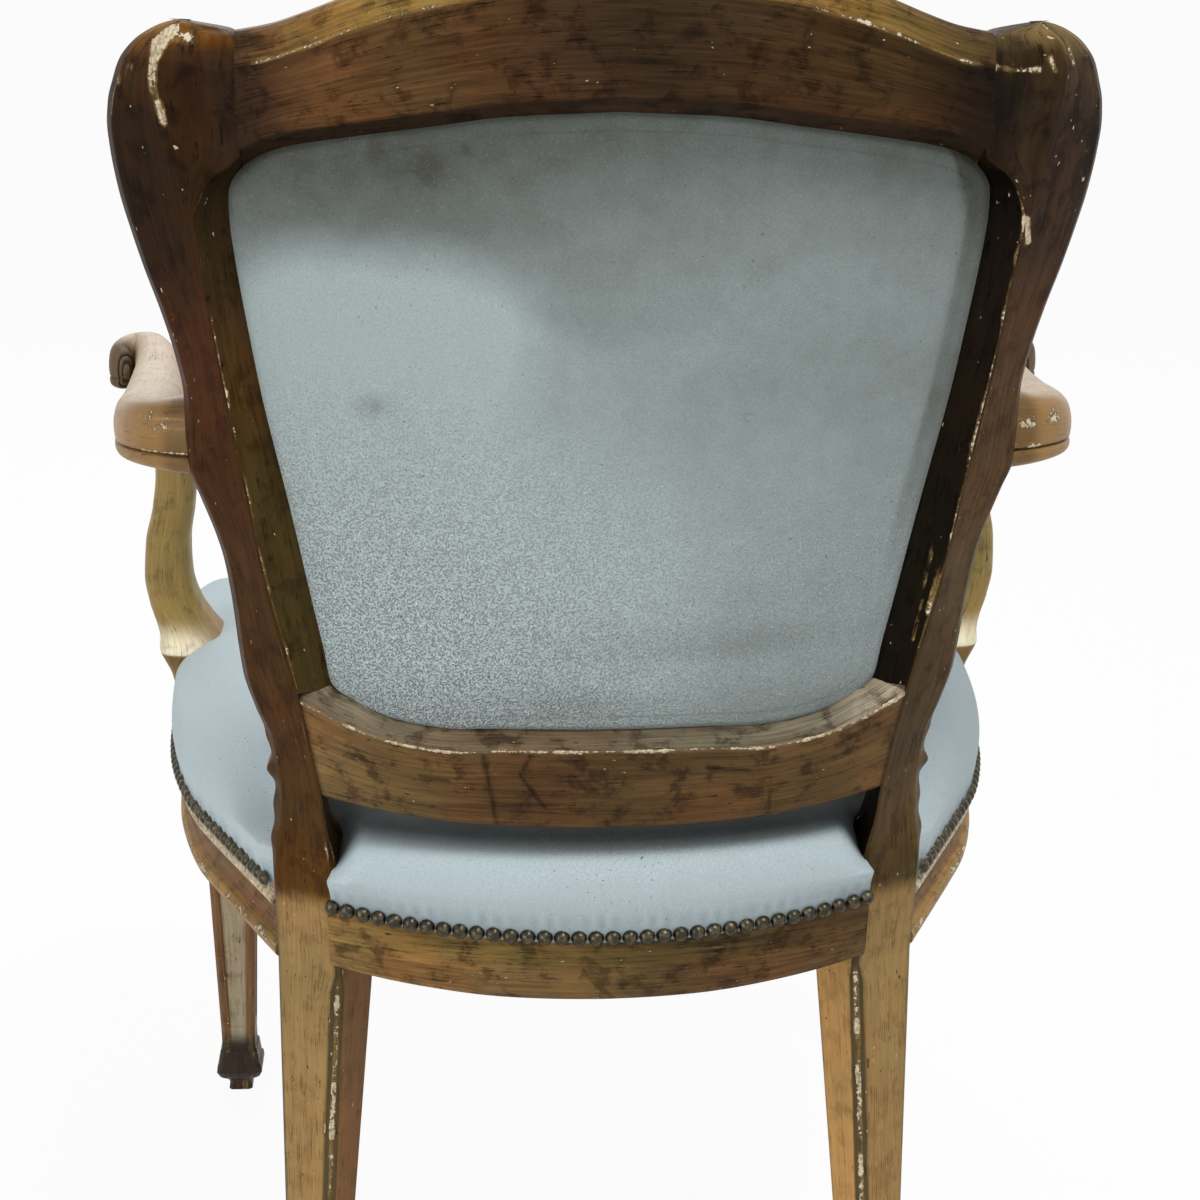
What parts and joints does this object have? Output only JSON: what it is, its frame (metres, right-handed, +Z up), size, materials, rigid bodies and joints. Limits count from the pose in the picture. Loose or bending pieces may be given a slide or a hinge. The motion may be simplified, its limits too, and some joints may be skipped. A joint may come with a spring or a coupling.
{
  "type": "giltwood armchair",
  "caption": "Open armchair with a carved gilt wood frame, hollow raked back, scrolled arms, square tapered legs, and leather over a webbed, stuffed seat and back.",
  "frame": {"origin": "on the floor under the middle of the chair's width and depth", "axes": "+Z up, the sitter faces -Y, +X is the sitter's left"},
  "size_m": [0.666, 0.7184, 0.99],
  "materials": {
    "gilt_wood": "worn water gilding over bole and gesso, rubbed to dark bronze brown",
    "pale_gilt_wood": "worn water gilding, paler, with cream gesso at the edges",
    "bare_beech": "bare beech, unfinished",
    "seat_leather": "matt, pale grey-blue, worn",
    "back_leather": "matt, grey-green, worn and mottled",
    "jute_webbing": "coarse woven jute",
    "linen": "plain woven flax",
    "horsehair": "curled hair"
  },
  "bodies": {
    "root": {"rear_post_left": "gilt_wood", "front_leg_left": "pale_gilt_wood", "seat_rail_left": "gilt_wood", "arm_left": "pale_gilt_wood", "arm_support_left": "pale_gilt_wood", "rear_corner_block_left": "bare_beech", "front_corner_block_left": "bare_beech", "rear_post_right": "gilt_wood", "front_leg_right": "pale_gilt_wood", "seat_rail_right": "gilt_wood", "arm_right": "pale_gilt_wood", "arm_support_right": "pale_gilt_wood", "rear_corner_block_right": "bare_beech", "front_corner_block_right": "bare_beech", "crest_rail": "gilt_wood", "lower_back_rail": "gilt_wood", "seat_rail_rear": "gilt_wood", "seat_rail_front": "gilt_wood", "seat_webbing_lengthwise_1": "jute_webbing", "seat_webbing_lengthwise_2": "jute_webbing", "seat_webbing_lengthwise_3": "jute_webbing", "seat_webbing_lengthwise_4": "jute_webbing", "seat_webbing_cross_1": "jute_webbing", "seat_webbing_cross_2": "jute_webbing", "seat_webbing_cross_3": "jute_webbing", "seat_webbing_cross_4": "jute_webbing", "seat_hessian": "linen", "seat_stuffing": "horsehair", "seat_cover": "seat_leather", "back_webbing_upright_1": "jute_webbing", "back_webbing_upright_2": "jute_webbing", "back_webbing_upright_3": "jute_webbing", "back_webbing_level_1": "jute_webbing", "back_webbing_level_2": "jute_webbing", "back_webbing_level_3": "jute_webbing", "back_hessian": "linen", "back_stuffing": "horsehair", "inside_back_cover": "seat_leather", "outside_back_lining": "linen", "outside_back_cover": "back_leather"}
  },
  "joints": []
}
